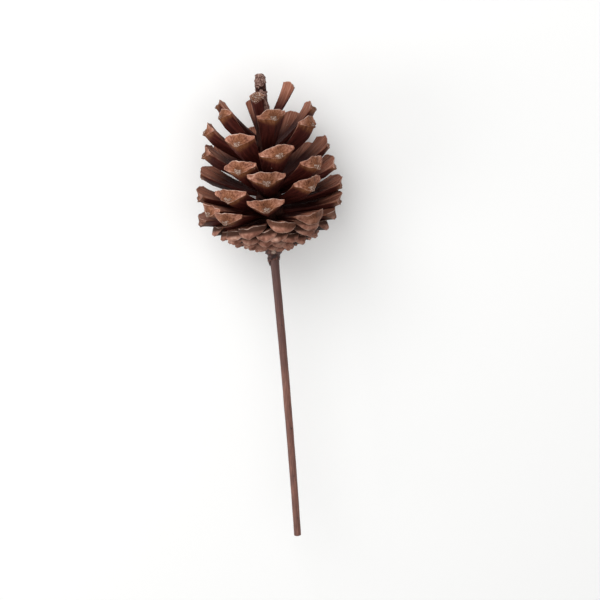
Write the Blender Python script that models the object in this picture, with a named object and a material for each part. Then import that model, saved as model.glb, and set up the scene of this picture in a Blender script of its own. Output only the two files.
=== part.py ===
"""Pine cone pick: a natural open pine cone glued on a slim brown wooden stick, lying on a surface.

The cone is built upright, base at z = 0, apex up and its best side towards -Y. It is then laid down
with the apex towards +Y and the best side up, in the pose in which it settles on its scale tips.
"""

import math
import random

import bmesh
import bpy
import numpy as np
from mathutils import Matrix, Vector

MM = 0.001

# Growth of the cone. The scales are numbered from the lowest up: rank and tip height in mm.
TIP_HEIGHTS = (
    (0, 3.0), (14, 5.0), (28, 7.0), (42, 9.3), (56, 12.0), (59, 13.9), (62, 16.0), (65, 18.3),
    (68, 20.8), (72, 24.9), (76, 30.3), (80, 36.4), (84, 42.1), (89, 49.4), (94, 58.1), (98, 63.6),
    (100, 66.0), (101, 71.0), (102, 72.3), (103, 72.9),
)  # fmt: skip
SCALE_COUNT = 104

# Shape of a scale by its tip height, in mm: tip height, tip radius, root radius, root height,
# head width, head depth from rim to umbo, how far the corners and the umbo lie behind the tip,
# length of the facet under the umbo.
GROWTH = (
    (3.0, 7.0, 2.8, 4.0, 6.8, 2.6, 1.6, 0.6, 2.2),
    (5.0, 11.8, 3.0, 5.8, 7.6, 3.0, 1.9, 0.9, 2.8),
    (7.0, 16.6, 3.0, 7.6, 8.8, 3.2, 2.2, 1.2, 3.3),
    (9.3, 20.9, 3.0, 9.8, 10.2, 3.4, 2.5, 1.5, 3.8),
    (12.0, 24.8, 2.9, 12.6, 11.8, 3.7, 2.8, 1.8, 4.2),
    (15.0, 28.2, 2.8, 14.6, 13.2, 4.0, 3.0, 1.9, 4.6),
    (18.5, 30.0, 2.7, 16.2, 14.4, 4.2, 3.1, 2.0, 5.0),
    (25.0, 30.4, 2.5, 18.6, 15.0, 4.3, 3.1, 2.0, 5.2),
    (33.0, 29.2, 2.3, 22.6, 15.2, 4.3, 3.1, 2.0, 5.4),
    (44.0, 26.4, 2.1, 28.2, 14.8, 4.3, 3.1, 2.0, 5.6),
    (53.0, 23.6, 1.9, 34.6, 13.4, 4.3, 3.0, 1.9, 5.6),
    (59.0, 20.4, 1.6, 39.5, 12.0, 4.2, 2.8, 1.8, 5.4),
    (62.0, 18.0, 1.4, 43.0, 9.4, 3.6, 2.2, 1.4, 4.6),
    (66.0, 6.6, 0.9, 50.0, 6.6, 3.0, 1.4, 1.0, 4.0),
    (69.9, 6.0, 0.9, 52.0, 6.2, 2.8, 1.2, 0.9, 3.6),
    (70.0, 1.7, 0.6, 62.0, 4.0, 1.4, 0.7, 0.5, 1.8),
    (73.2, 1.3, 0.5, 65.0, 3.6, 1.2, 0.6, 0.5, 1.6),
)
GROWTH_FIELDS = ("tip_r", "root_r", "root_z", "width", "depth", "corner", "setback", "lower")

# From scale to scale the cone turns by the golden angle. Its axis has twisted where it has opened.
CLOSED_TURN_DEG = 137.51
OPEN_TURN_DEG = 134.61
TWIST_FROM, TWIST_TO = 44, 60
FRONT_RANK = 70
FRONT_BEARING_DEG = -2.0

# Open scales that stand off that rule: bearing to the right of the front in degrees, then tip
# height and tip radius in mm
STRAYS = {
    57: (-19, 12.9, 25.6),
    60: (-90, 17.0, 30.6),
    61: (153, 14.8, 31.9),
    62: (11, 14.4, 27.2),
    63: (-153, 15.2, 31.0),
    64: (89, 15.6, 27.4),
    65: (-37, 19.4, 29.8),
    66: (179, 20.4, 27.2),
    67: (38, 17.0, 29.4),
    68: (-60, 22.8, 29.8),
    70: (-2, 24.6, 30.3),
    72: (91, 21.6, 30.4),
    73: (-32, 29.0, 29.8),
    74: (-177, 29.6, 27.0),
    75: (37, 31.4, 29.5),
    76: (-86, 28.4, 30.4),
    77: (99, 28.6, 31.4),
    78: (2, 35.4, 28.8),
    79: (-108, 36.6, 28.4),
    80: (93, 37.2, 28.4),
    81: (-27, 40.2, 27.4),
    82: (-179, 44.4, 27.4),
    83: (50, 39.6, 27.4),
    84: (-84, 46.2, 25.0),
    86: (10, 45.2, 26.2),
    88: (96, 45.6, 26.0),
    89: (-26, 51.0, 24.2),
    91: (56, 55.4, 22.4),
    92: (-80, 55.2, 23.6),
    94: (9, 59.8, 21.0),
    95: (-106, 64.0, 18.2),
    96: (88, 60.8, 20.2),
    97: (-58, 61.0, 18.6),
    98: (190, 63.4, 14.0),
    99: (93, 69.4, 12.2),
    100: (-13, 66.3, 6.4),
}
# How far the heads of some of them are rolled, in degrees, their right corner up where positive
STRAY_ROLLS = {
    60: -8, 62: -12, 64: 12, 65: -4, 68: -8, 70: 1.5, 72: 12, 73: -2, 75: 6.5, 76: -8, 77: 10, 78: -1,
    80: 12, 81: 1, 83: 4, 84: -8, 86: 8.5, 88: 14, 89: 2, 91: 6, 92: -8, 94: 9, 96: 16, 99: 50,
}  # fmt: skip
GROWTH_SEED = 13
OPEN_RANK = 52

# Shape of one scale
EDGE = 0.7 * MM
ROOT_THICKNESS = 1.7 * MM
ARCH_SHARE = 0.02
HOLLOW = 0.5 * MM
WAIST_SHARE = 0.25
WAIST_POWER = 1.0
KEEL_POWER = 1.5
SAG_SHARES = ((9.0, -0.035), (24.0, 0.035))
COLUMNS = (-1.0, -0.55, 0.0, 0.55, 1.0)

# Woody axis of the cone with the solid dome under the closed scales, radius and height in mm
AXIS_PROFILE = (
    (0.0, 2.2), (5.0, 2.4), (8.4, 3.2), (13.0, 5.2), (17.0, 7.2), (18.5, 9.4), (15.0, 11.4),
    (9.0, 13.2), (5.6, 16.5), (4.8, 28.0), (4.0, 40.0), (3.2, 50.0), (2.5, 60.0), (2.2, 70.0),
    (1.6, 72.4), (0.0, 73.0),
)  # fmt: skip
AXIS_SIDES = 12

# Stick along its own middle line, measured up from the cone's base: height and radius in mm
STICK_PROFILE = ((8.0, 1.9), (0.0, 2.0), (-4.5, 2.0), (-8.5, 1.78), (-60.0, 1.65), (-125.4, 1.52))
STICK_TOP = 8.0 * MM
STICK_END = -125.4 * MM
STICK_BEVEL = 0.25 * MM
STICK_SIDES = 12
STICK_HEIGHTS = (0.0, -4.5, -8.5, -30.0, -52.0, -74.0, -96.0)
STICK_BOW = 0.5 * MM
STICK_LEAN_DEG = 0.3
FIT_GAP = 0.3 * MM

# Glue bead round the stick, under the cone: height and outer radius in mm, from the top down
GLUE_PROFILE = ((1.9, 2.9), (1.5, 3.2), (0.3, 3.3), (-0.8, 3.25), (-1.7, 3.0), (-2.4, 2.75))
GLUE_LUMPS = ((2, 0.35, 1.57), (5, 0.2, 0.6))
GLUE_SIDES = 16

# Lying pose, in which three low scale tips stand round its weight: turn about the cone's own axis,
# dip of the apex towards the surface, and how deep the lowest tips are worn flat
REST_ROLL_DEG = 0.5
REST_DIP_DEG = 1.8
WORN_DEPTH = 0.3 * MM


def clear_scene():
    for obj in list(bpy.data.objects):
        bpy.data.objects.remove(obj)


def material(name, colour, roughness):
    made = bpy.data.materials.new(name)
    made.use_nodes = True
    shader = made.node_tree.nodes["Principled BSDF"]
    shader.inputs["Base Color"].default_value = (*colour, 1.0)
    shader.inputs["Roughness"].default_value = roughness
    shader.inputs["Metallic"].default_value = 0.0
    return made


def add_object(name, bm, surface=None):
    """A new object from bm, with all its faces pointing out."""
    bmesh.ops.recalc_face_normals(bm, faces=bm.faces)
    mesh = bpy.data.meshes.new(name)
    bm.to_mesh(mesh)
    bm.free()
    obj = bpy.data.objects.new(name, mesh)
    if surface:
        mesh.materials.append(surface)
    bpy.context.scene.collection.objects.link(obj)
    return obj


def bridge_grid(bm, loops, close_loops):
    """Faces between neighbouring loops of vertices. close_loops joins the last loop to the first."""
    count = len(loops[0])
    pairs = list(zip(loops, loops[1:]))
    if close_loops:
        pairs.append((loops[-1], loops[0]))
    for one, two in pairs:
        for i in range(count):
            j = (i + 1) % count
            bm.faces.new((one[i], one[j], two[j], two[i]))


def apply_boolean(obj, operation, cutter=None, collection=None):
    modifier = obj.modifiers.new(operation.lower(), "BOOLEAN")
    modifier.operation = operation
    if collection:
        modifier.operand_type = "COLLECTION"
        modifier.collection = collection
        used = list(collection.objects)
    else:
        modifier.object = cutter
        used = [cutter]
    graph = bpy.context.evaluated_depsgraph_get()
    result = bpy.data.meshes.new_from_object(obj.evaluated_get(graph))
    obj.modifiers.remove(modifier)
    obj.data = result
    for other in used:
        bpy.data.objects.remove(other)


def keep_outer_skin(obj):
    """Fills the hollows that growing together has sealed and drops loose scraps."""
    bm = bmesh.new()
    bm.from_mesh(obj.data)
    left = set(bm.faces)
    bodies = []
    while left:
        body = set()
        reached = [next(iter(left))]
        while reached:
            face = reached.pop()
            if face in left:
                left.remove(face)
                body.add(face)
                reached.extend(other for edge in face.edges for other in edge.link_faces)
        bodies.append(body)
    bodies.sort(key=len)
    spare = [face for body in bodies[:-1] for face in body]
    bmesh.ops.delete(bm, geom=spare, context="FACES")
    bm.to_mesh(obj.data)
    bm.free()


def stage(height):
    """The shape values of a scale whose tip is at this height in mm, in metres."""
    rows = np.array(GROWTH)
    values = [np.interp(height, rows[:, 0], column) * MM for column in rows[:, 1:].T]
    return dict(zip(GROWTH_FIELDS, values))


def bearings():
    """Each scale's turn round the cone, to the right of the front, in degrees."""
    ranks = np.arange(SCALE_COUNT)
    steps = np.interp(ranks, (TWIST_FROM, TWIST_TO), (CLOSED_TURN_DEG, OPEN_TURN_DEG))
    turned = np.cumsum(steps)
    return FRONT_BEARING_DEG - (turned - turned[FRONT_RANK])


def grow_scales():
    """Each scale's own values: its place on the cone, its shape and its accidents."""
    draw = random.Random(GROWTH_SEED)
    known = np.array(TIP_HEIGHTS)
    scales = []
    for rank, bearing in enumerate(bearings()):
        freedom = 1.0 if rank >= OPEN_RANK else 0.4
        height = np.interp(rank, known[:, 0], known[:, 1]) + freedom * draw.uniform(-0.8, 0.8)
        bearing += freedom * draw.uniform(-2.5, 2.5)
        spread = 1 + freedom * draw.uniform(-0.03, 0.03)
        if rank in STRAYS:
            bearing, height, radius = STRAYS[rank]
        scale = stage(height)
        scale["tip_z"] = height * MM
        scale["tip_r"] = radius * MM if rank in STRAYS else scale["tip_r"] * spread
        scale["turn"] = math.radians(bearing - 90)
        scale["width"] *= 1 + freedom * draw.uniform(-0.06, 0.06)
        roll = freedom * draw.uniform(-7, 7)
        scale["roll"] = math.radians(STRAY_ROLLS.get(rank, roll))
        scale["yaw"] = freedom * draw.uniform(-0.05, 0.05)
        scale["sag"] = np.interp(height, *zip(*SAG_SHARES))
        scales.append(scale)
    return scales


def scale_length(scale):
    return math.hypot(scale["tip_r"] - scale["root_r"], scale["tip_z"] - scale["root_z"])


def half_width(scale, along):
    """Half the scale's width at this distance from its root."""
    share = min(1.0, max(0.0, along / (scale_length(scale) - scale["corner"])))
    return 0.5 * scale["width"] * (WAIST_SHARE + (1 - WAIST_SHARE) * share**WAIST_POWER)


def scale_section(scale, across, is_open):
    """Points (along, sideways, up) of the lengthwise cut at across, from -1 to 1, round the scale."""
    length = scale_length(scale)
    side = abs(across)
    half = 0.5 * scale["width"]
    rim_along = length - scale["corner"] * side**1.8
    rim_up = ARCH_SHARE * scale["width"] * (1 - side**2)
    keel_along = length - scale["setback"] - (scale["corner"] - scale["setback"]) * side**1.5
    keel_up = -scale["depth"] + (scale["depth"] - EDGE) * side**KEEL_POWER
    low_along = keel_along - scale["lower"] * (1 - 0.5 * side)
    low_up = -scale["depth"] - EDGE + scale["depth"] * side**KEEL_POWER
    middle = 0.55 * length
    root = across * half_width(scale, 0)
    section = [(0.0, root, 0.0)]
    if is_open:
        section.append((middle, across * half_width(scale, middle), -HOLLOW * (1 - side**2)))
    section.append((rim_along, across * half, rim_up))
    section.append((keel_along, across * half, keel_up))
    section.append((low_along, across * half_width(scale, low_along), low_up))
    section.append((0.0, root, -ROOT_THICKNESS))
    return section


def place(scale, along, sideways, up):
    """A point of the scale on the upright cone."""
    length = scale_length(scale)
    out = (scale["tip_r"] - scale["root_r"]) / length
    rise = (scale["tip_z"] - scale["root_z"]) / length
    share = along / length
    tilted_side = sideways * math.cos(scale["roll"]) - up * math.sin(scale["roll"])
    tilted_up = sideways * math.sin(scale["roll"]) + up * math.cos(scale["roll"])
    tilted_up -= 4 * scale["sag"] * length * share * (1 - share)
    radius = scale["root_r"] + out * along - rise * tilted_up
    height = scale["root_z"] + rise * along + out * tilted_up
    offset = tilted_side + scale["yaw"] * along
    turn = scale["turn"]
    return Vector(
        (
            radius * math.cos(turn) - offset * math.sin(turn),
            radius * math.sin(turn) + offset * math.cos(turn),
            height,
        )
    )


def scale_solid(scale, rank):
    """One scale as a closed solid: its root is sunk in the axis and its head is a keeled lozenge."""
    is_open = rank >= OPEN_RANK
    bm = bmesh.new()
    loops = []
    for across in COLUMNS:
        section = scale_section(scale, across, is_open)
        loops.append([bm.verts.new(place(scale, *point)) for point in section])
    bridge_grid(bm, loops, close_loops=False)
    for side in (loops[0], loops[-1]):
        if is_open:
            bm.faces.new((side[0], side[1], side[4], side[5]))
            bm.faces.new((side[1], side[2], side[3], side[4]))
        else:
            bm.faces.new((side[0], side[1], side[3], side[4]))
            bm.faces.new((side[1], side[2], side[3]))
    return add_object(f"scale_{rank:03d}", bm)


def lathe(name, profile, sides, surface=None):
    """A solid of revolution about Z. profile runs from one point on the axis to another, in mm."""
    bm = bmesh.new()
    first = bm.verts.new((0, 0, profile[0][1] * MM))
    last = bm.verts.new((0, 0, profile[-1][1] * MM))
    rings = []
    for radius, height in profile[1:-1]:
        angles = [math.tau * i / sides for i in range(sides)]
        ring = [(radius * MM * math.cos(a), radius * MM * math.sin(a), height * MM) for a in angles]
        rings.append([bm.verts.new(point) for point in ring])
    bridge_grid(bm, rings, close_loops=False)
    for i in range(sides):
        j = (i + 1) % sides
        bm.faces.new((first, rings[0][i], rings[0][j]))
        bm.faces.new((last, rings[-1][i], rings[-1][j]))
    return add_object(name, bm, surface)


def stick_centre(height):
    """Where the stick's middle line is, height being measured up from the cone's base."""
    share = max(0.0, height / STICK_END)
    bow = 4 * STICK_BOW * share * (1 - share)
    return Vector((bow - height * math.tan(math.radians(STICK_LEAN_DEG)), 0.0, height))


def stick_radius(height):
    rows = np.array(STICK_PROFILE[::-1])
    return float(np.interp(height / MM, rows[:, 0], rows[:, 1])) * MM


def stick_solid(name, gap, bottom, top, surface=None):
    """The stick from bottom to top, grown by gap on its radius."""
    heights = [top - STICK_BEVEL]
    heights += [height * MM for height in STICK_HEIGHTS if bottom < height * MM < top]
    heights += [bottom + STICK_BEVEL]
    rings = [(height, stick_radius(height) + gap) for height in heights]
    rings.insert(0, (top, rings[0][1] - STICK_BEVEL))
    rings.append((bottom, rings[-1][1] - STICK_BEVEL))
    bm = bmesh.new()
    loops = []
    for height, radius in rings:
        centre = stick_centre(height)
        angles = [math.tau * i / STICK_SIDES for i in range(STICK_SIDES)]
        ring = [centre + Vector((radius * math.cos(a), radius * math.sin(a), 0)) for a in angles]
        loops.append([bm.verts.new(point) for point in ring])
    bridge_grid(bm, loops, close_loops=False)
    bm.faces.new(loops[0])
    bm.faces.new(loops[-1])
    return add_object(name, bm, surface)


def glue_radius(outer, angle, height):
    """The bead's outer radius: lumps near the top that die out down the stick."""
    top, bottom = GLUE_PROFILE[0][0] * MM, GLUE_PROFILE[-1][0] * MM
    fade = (height - bottom) / (top - bottom)
    lumps = sum(size * math.sin(count * angle + phase) for count, size, phase in GLUE_LUMPS)
    return outer + lumps * MM * fade


def glue_solid(surface):
    bm = bmesh.new()
    loops = []
    for i in range(GLUE_SIDES):
        angle = math.tau * i / GLUE_SIDES
        direction = Vector((math.cos(angle), math.sin(angle), 0))
        loop = []
        for height, outer in GLUE_PROFILE:
            radius = glue_radius(outer * MM, angle, height * MM)
            loop.append(stick_centre(height * MM) + direction * radius)
        for height, _ in (GLUE_PROFILE[-1], GLUE_PROFILE[0]):
            radius = stick_radius(height * MM) + FIT_GAP
            loop.append(stick_centre(height * MM) + direction * radius)
        loops.append([bm.verts.new(point) for point in loop])
    bridge_grid(bm, loops, close_loops=True)
    return add_object("glue_collar", bm, surface)


def glue_recess():
    """What the cone gives up for the glue bead: its widest outline and the usual gap."""
    widest = max(outer for _, outer in GLUE_PROFILE) + sum(size for _, size, _ in GLUE_LUMPS)
    radius = widest + FIT_GAP / MM
    top = GLUE_PROFILE[0][0] + FIT_GAP / MM
    return lathe("glue_recess", ((0, top), (radius, top), (radius, -10), (0, -10)), GLUE_SIDES)


def cone_solid(surface):
    """The whole cone: axis, dome and scales grown into one, drilled for the stick."""
    cone = lathe("pine_cone", AXIS_PROFILE, AXIS_SIDES, surface)
    grown = bpy.data.collections.new("scales")
    bpy.context.scene.collection.children.link(grown)
    for rank, scale in enumerate(grow_scales()):
        obj = scale_solid(scale, rank)
        bpy.context.scene.collection.objects.unlink(obj)
        grown.objects.link(obj)
    apply_boolean(cone, "UNION", collection=grown)
    bpy.data.collections.remove(grown)
    hole = stick_solid("stick_hole", FIT_GAP, -4 * MM, STICK_TOP + FIT_GAP)
    apply_boolean(cone, "DIFFERENCE", cutter=hole)
    apply_boolean(cone, "DIFFERENCE", cutter=glue_recess())
    return cone


def lie_down(objects):
    """Turns the upright pick on to the surface, with its best side up and its apex dipping."""
    dip = Matrix.Rotation(-math.radians(90 + REST_DIP_DEG), 4, "X")
    turn = dip @ Matrix.Rotation(math.radians(REST_ROLL_DEG), 4, "Z")
    for obj in objects:
        obj.data.transform(turn)
        obj.data.update()


def corners_of(objects):
    points = np.array([vertex.co for obj in objects for vertex in obj.data.vertices])
    return points.min(axis=0), points.max(axis=0)


def wear_flat(cone):
    """Cuts the lowest tips off level, so that the cone rests on small flat spots."""
    low, high = corners_of([cone])
    size = 2 * max(high - low)
    bm = bmesh.new()
    bmesh.ops.create_cube(bm, size=size)
    middle = (Vector(low) + Vector(high)) / 2
    middle.z = low[2] + WORN_DEPTH - size / 2
    bmesh.ops.translate(bm, verts=bm.verts, vec=middle)
    apply_boolean(cone, "DIFFERENCE", cutter=add_object("surface_cut", bm))


def set_origin(objects):
    """Moves everything so that the origin is on the surface, under the middle of the box."""
    low, high = corners_of(objects)
    shift = -Vector(((low[0] + high[0]) / 2, (low[1] + high[1]) / 2, low[2]))
    for obj in objects:
        obj.data.transform(Matrix.Translation(shift))
        obj.data.update()


def shade(objects):
    for obj in objects:
        obj.data.shade_smooth()
        obj.data.set_sharp_from_angle(angle=math.radians(35))


def main():
    clear_scene()
    cone_wood = material("cone_wood", (0.155, 0.062, 0.035), 0.55)
    stick_wood = material("stained_stick", (0.17, 0.075, 0.052), 0.5)
    glue = material("stained_glue", (0.09, 0.036, 0.026), 0.35)
    cone = cone_solid(cone_wood)
    stick = stick_solid("stem_stick", 0.0, STICK_END, STICK_TOP, stick_wood)
    collar = glue_solid(glue)
    pieces = [cone, stick, collar]
    lie_down(pieces)
    wear_flat(cone)
    keep_outer_skin(cone)
    set_origin(pieces)
    shade(pieces)


main()
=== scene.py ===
"""Pine cone pick, dressed: a dry open pine cone glued on a brown stained stick, lying on a pale floor.

The cone is worked out upright, its base at z = 0, its apex up and its best side towards -Y, as in
part.py, and is then laid down. Every scale is one blank that a node tree shapes by the scale's own
growth values. Sizes named _MM are in millimetres, all other lengths in metres.
"""

import math
import random

import bmesh
import bpy
import numpy as np
from mathutils import Matrix, Vector, noise


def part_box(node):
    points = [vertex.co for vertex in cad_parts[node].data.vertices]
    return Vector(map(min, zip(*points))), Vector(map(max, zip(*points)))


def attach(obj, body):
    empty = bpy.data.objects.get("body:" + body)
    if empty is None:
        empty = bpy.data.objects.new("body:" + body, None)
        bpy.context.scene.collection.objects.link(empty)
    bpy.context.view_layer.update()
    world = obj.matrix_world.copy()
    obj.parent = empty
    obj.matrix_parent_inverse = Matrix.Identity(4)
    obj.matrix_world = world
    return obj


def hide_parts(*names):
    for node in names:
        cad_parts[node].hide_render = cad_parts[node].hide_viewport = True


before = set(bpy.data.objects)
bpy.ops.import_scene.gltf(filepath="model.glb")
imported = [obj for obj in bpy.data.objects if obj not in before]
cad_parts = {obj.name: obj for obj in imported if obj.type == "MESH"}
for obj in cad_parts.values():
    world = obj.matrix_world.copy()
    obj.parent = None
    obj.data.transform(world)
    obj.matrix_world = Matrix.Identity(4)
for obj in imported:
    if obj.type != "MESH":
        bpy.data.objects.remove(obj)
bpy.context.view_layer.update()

MM = 0.001

# Growth of the cone, the same rule and numbers as its solid: rank of the scale and tip height
TIP_HEIGHTS = (
    (0, 3.0), (14, 5.0), (28, 7.0), (42, 9.3), (56, 12.0), (59, 13.9), (62, 16.0), (65, 18.3),
    (68, 20.8), (72, 24.9), (76, 30.3), (80, 36.4), (84, 42.1), (89, 49.4), (94, 58.1), (98, 63.6),
    (100, 66.0), (101, 71.0), (102, 72.3), (103, 72.9),
)
SCALE_COUNT = 104

# Tip height, tip radius, root radius, root height, head width, head depth from rim to umbo, how far
# the corners and the umbo lie behind the tip, length of the facet under the umbo, all in mm
GROWTH = (
    (3.0, 7.0, 2.8, 4.0, 6.8, 2.6, 1.6, 0.6, 2.2),
    (5.0, 11.8, 3.0, 5.8, 7.6, 3.0, 1.9, 0.9, 2.8),
    (7.0, 16.6, 3.0, 7.6, 8.8, 3.2, 2.2, 1.2, 3.3),
    (9.3, 20.9, 3.0, 9.8, 10.2, 3.4, 2.5, 1.5, 3.8),
    (12.0, 24.8, 2.9, 12.6, 11.8, 3.7, 2.8, 1.8, 4.2),
    (15.0, 28.2, 2.8, 14.6, 13.2, 4.0, 3.0, 1.9, 4.6),
    (18.5, 30.0, 2.7, 16.2, 14.4, 4.2, 3.1, 2.0, 5.0),
    (25.0, 30.4, 2.5, 18.6, 15.0, 4.3, 3.1, 2.0, 5.2),
    (33.0, 29.2, 2.3, 22.6, 15.2, 4.3, 3.1, 2.0, 5.4),
    (44.0, 26.4, 2.1, 28.2, 14.8, 4.3, 3.1, 2.0, 5.6),
    (53.0, 23.6, 1.9, 34.6, 13.4, 4.3, 3.0, 1.9, 5.6),
    (59.0, 20.4, 1.6, 39.5, 12.0, 4.2, 2.8, 1.8, 5.4),
    (62.0, 18.0, 1.4, 43.0, 9.4, 3.6, 2.2, 1.4, 4.6),
    (66.0, 6.6, 0.9, 50.0, 6.6, 3.0, 1.4, 1.0, 4.0),
    (69.9, 6.0, 0.9, 52.0, 6.2, 2.8, 1.2, 0.9, 3.6),
    (70.0, 1.7, 0.6, 62.0, 4.0, 1.4, 0.7, 0.5, 1.8),
    (73.2, 1.3, 0.5, 65.0, 3.6, 1.2, 0.6, 0.5, 1.6),
)
GROWTH_FIELDS = ("tip_r", "root_r", "root_z", "width", "depth", "corner", "setback", "lower")
CLOSED_TURN_DEG = 137.51
OPEN_TURN_DEG = 134.61
TWIST_FROM, TWIST_TO = 44, 60
FRONT_RANK = 70
FRONT_BEARING_DEG = -2.0

# Open scales that stand off that rule: bearing in degrees, tip height and tip radius in mm
STRAYS = {
    57: (-19, 12.9, 25.6),
    60: (-90, 17.0, 30.6),
    61: (153, 14.8, 31.9),
    62: (11, 14.4, 27.2),
    63: (-153, 15.2, 31.0),
    64: (89, 15.6, 27.4),
    65: (-37, 19.4, 29.8),
    66: (179, 20.4, 27.2),
    67: (38, 17.0, 29.4),
    68: (-60, 22.8, 29.8),
    70: (-2, 24.6, 30.3),
    72: (91, 21.6, 30.4),
    73: (-32, 29.0, 29.8),
    74: (-177, 29.6, 27.0),
    75: (37, 31.4, 29.5),
    76: (-86, 28.4, 30.4),
    77: (99, 28.6, 31.4),
    78: (2, 35.4, 28.8),
    79: (-108, 36.6, 28.4),
    80: (93, 37.2, 28.4),
    81: (-27, 40.2, 27.4),
    82: (-179, 44.4, 27.4),
    83: (50, 39.6, 27.4),
    84: (-84, 46.2, 25.0),
    86: (10, 45.2, 26.2),
    88: (96, 45.6, 26.0),
    89: (-26, 51.0, 24.2),
    91: (56, 55.4, 22.4),
    92: (-80, 55.2, 23.6),
    94: (9, 59.8, 21.0),
    95: (-106, 64.0, 18.2),
    96: (88, 60.8, 20.2),
    97: (-58, 61.0, 18.6),
    98: (190, 63.4, 14.0),
    99: (93, 69.4, 12.2),
    100: (-13, 66.3, 6.4),
}
# How far the heads of some of them are rolled, in degrees, their right corner up where positive
STRAY_ROLLS = {
    60: -8, 62: -12, 64: 12, 65: -4, 68: -8, 70: 1.5, 72: 12, 73: -2, 75: 6.5, 76: -8, 77: 10, 78: -1,
    80: 12, 81: 1, 83: 4, 84: -8, 86: 8.5, 88: 14, 89: 2, 91: 6, 92: -8, 94: 9, 96: 16, 99: 50,
}
GROWTH_SEED = 13
TONE_SEED = 11
OPEN_RANK = 52
BUD_RANK = 101
# How far a scale of the open part may stray from the rule, and the closed part's share of that
HEIGHT_SPREAD_MM, BEARING_SPREAD_DEG, ROLL_SPREAD_DEG = 0.8, 2.5, 7
REACH_SPREAD, WIDTH_SPREAD, YAW_SPREAD = 0.03, 0.06, 0.05
CLOSED_FREEDOM = 0.4

# Shape of one scale
EDGE = 0.7 * MM
ROOT_THICKNESS = 1.7 * MM
ARCH_SHARE = 0.02
HOLLOW = 0.5 * MM
WAIST_SHARE = 0.25
KEEL_POWER = 1.5
ROUND_POWER = 3.0
SAG_SHARES = ((9.0, -0.035), (24.0, 0.035))
FULL_DEPTH_MM = 4.3

# The blank of a scale: columns from corner to corner, and rows round the lengthwise cut, each
# between two of the cut's main points
COLUMN_SIDES = (0.0, 0.06, 0.12, 0.19, 0.27, 0.37, 0.48, 0.6, 0.72, 0.83, 0.92, 0.98, 1.0)
BLANK_ROWS = (
    ("root", "middle", (0.0, 0.35, 0.7)),
    ("middle", "rim", (0.0, 0.25, 0.5, 0.7, 0.85, 0.94, 0.985)),
    ("rim", "keel", (0.0, 0.05, 0.14, 0.26, 0.4, 0.54, 0.66, 0.76, 0.85, 0.92, 0.97)),
    ("keel", "low", (0.0, 0.05, 0.16, 0.34, 0.6)),
    ("low", "under", (0.0, 0.15, 0.4, 0.7, 1.0)),
)
# Relief of a full-grown scale, in mm. A spread is a share of the head's half width or of its depth.
UMBO_SIDE, UMBO_SHARE = 0.19, 0.82
UMBO_SPREAD = 0.15
UMBO_HEIGHT_MM = 0.75
KEEL_UMBO_SPREADS = (0.2, 0.1)
KEEL_UMBO_MM = (0.35, 0.3)
FACE_HOLLOW_MM = 0.5
FACE_LEAN = (0.9, 0.4)
RIM_STEP_MM, KEEL_STEP_MM = 0.12, 0.1
SEED_HOLLOW_MM = 0.5
SEED_SIDE, SEED_SPREAD = 0.45, 0.2
MIDRIB_MM, RIDGE_MM = 0.4, 0.35
RIB_SPREAD = 0.14
EAR_HEIGHT_MM = 0.7
# How much thinner the columns at the corners are, above and below, by their side
PINCH_MM = {1.0: 0.22, 0.98: 0.08}
# Relief that a scale which stayed shut has besides
LIP_MM = 3.1
PILLOW_MM = 0.9
TUCK_MM = 1.6
LIP_ROUNDING, ROUNDED_FROM = 0.36, 0.7
SHUT_BELOW_MM, PARTED_ABOVE_MM = 13.0, 20.0

# Finish of a scale: spreads of the crust on the face and under the keel, width of the pale rim, worn
# and with a painted highlight, and the sizes that tell how far a place is from that rim
CRUST_SPREADS, KEEL_CRUST_SPREADS = (0.27, 0.2), (0.24, 0.08)
WORN_AND_HIGHLIT_MM = 0.4
INNER_LENGTH_MM, HALF_WIDTH_MM = 11.0, 7.5
NO_EDGE_MM = 9.0

# Woody axis of the cone with the dome under the closed scales, radius and height in mm
AXIS_PROFILE = (
    (0.0, 2.2), (5.0, 2.4), (8.4, 3.2), (13.0, 5.2), (17.0, 7.2), (18.5, 9.4), (15.0, 11.4),
    (9.0, 13.2), (5.6, 16.5), (4.8, 28.0), (4.0, 40.0), (3.2, 50.0), (2.5, 60.0), (2.2, 70.0),
    (1.6, 72.4), (0.0, 73.0),
)
AXIS_SIDES = 40
AXIS_ROUGHNESS = 0.06

# Blunt bud at the apex with the stub it stands on, both of scales that never parted: height and
# radius in mm
BUD_PROFILE = (
    (56.0, 3.0), (60.0, 3.3), (64.6, 3.3), (65.6, 3.1), (66.4, 2.3), (67.6, 2.1), (69.0, 2.35),
    (70.6, 2.4), (71.8, 2.2), (72.7, 2.0), (73.2, 1.7), (73.55, 1.0), (73.6, 0.0),
)
BUD_SIDES = 56
BUD_ROWS = 84
BUD_KNOBS = 26
KNOBS_FROM_MM, KNOBS_RISE_MM = 66.0, 7.4
BUD_KNOB_MM = 0.38
BUD_KNOB_WIDTH_MM, BUD_KNOB_LENGTH_MM = 0.75, 0.5
BUD_ROUGHNESS_MM, BUD_TILT_MM = 0.16, 0.2
BUD_SWAY_MM = 0.12
# How far the stub stands to the left: height in mm, and share of STUB_ASIDE_MM
STUB_ASIDE_MM = 0.8
STUB_ASIDE = ((60.0, 0.0), (62.5, 1.0), (65.2, 1.0), (66.2, 0.0))
CRUSTED_RANKS = (99, 100)

# Stick, measured up from the cone's base: height and radius in mm
STICK_PROFILE = ((8.0, 1.9), (0.0, 2.0), (-4.5, 2.0), (-8.5, 1.78), (-60.0, 1.65), (-125.4, 1.52))
STICK_TOP = 8.0 * MM
STICK_END = -125.4 * MM
STICK_BOW = 0.5 * MM
STICK_LEAN_DEG = 0.3
STICK_SIDES = 40
STICK_STEP = 0.6 * MM
STICK_BEVEL = 0.12 * MM
FIT_GAP = 0.3 * MM
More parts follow.
